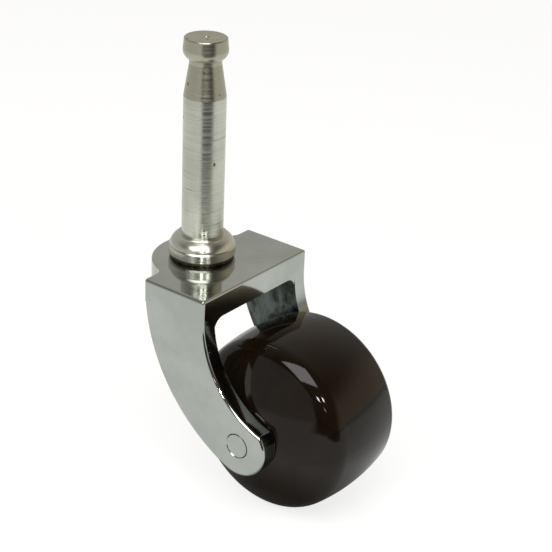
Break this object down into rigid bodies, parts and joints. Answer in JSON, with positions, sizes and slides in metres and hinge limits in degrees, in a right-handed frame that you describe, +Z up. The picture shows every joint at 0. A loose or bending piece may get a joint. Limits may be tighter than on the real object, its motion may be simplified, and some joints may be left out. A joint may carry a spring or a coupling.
{
  "type": "swivel stem caster",
  "caption": "Chair caster: grip-neck steel stem with domed collar, polished two-legged horn that swivels under it, and a glossy brown plastic wheel on a trailing axle.",
  "frame": {"origin": "on the stem axis at the top of the collar, where the shank starts and the furniture leg's socket seats", "axes": "+Z up along the stem, +X towards the trailing wheel, Y along the axle"},
  "size_m": [0.049, 0.0306, 0.0871],
  "materials": {
    "zinc_steel": "turned steel with bright zinc plate",
    "oiled_washer": "dark greased fibre washer",
    "washer_steel": "stamped zinc-plated steel",
    "chrome_horn": "polished and plated",
    "axle_steel": "ground flush and plated with the horn",
    "bushing_steel": "bare drawn steel tube",
    "brown_plastic": "hard dark brown moulding, high gloss"
  },
  "bodies": {
    "stem": {"stem": "zinc_steel", "thrust_washer": "oiled_washer", "retaining_washer": "washer_steel"},
    "horn": {"horn": "chrome_horn", "axle": "axle_steel", "axle_washers": "washer_steel"},
    "wheel": {"wheel": "brown_plastic", "hub_bushing": "bushing_steel"}
  },
  "joints": [
    {"name": "swivel", "type": "hinge", "parent": "stem", "child": "horn", "pos_m": [0, 0, 0], "axis": [0, 0, 1], "continuous": true},
    {"name": "wheel_spin", "type": "hinge", "parent": "horn", "child": "wheel", "pos_m": [0.0221, 0, -0.03127], "axis": [0, 1, 0], "continuous": true}
  ]
}
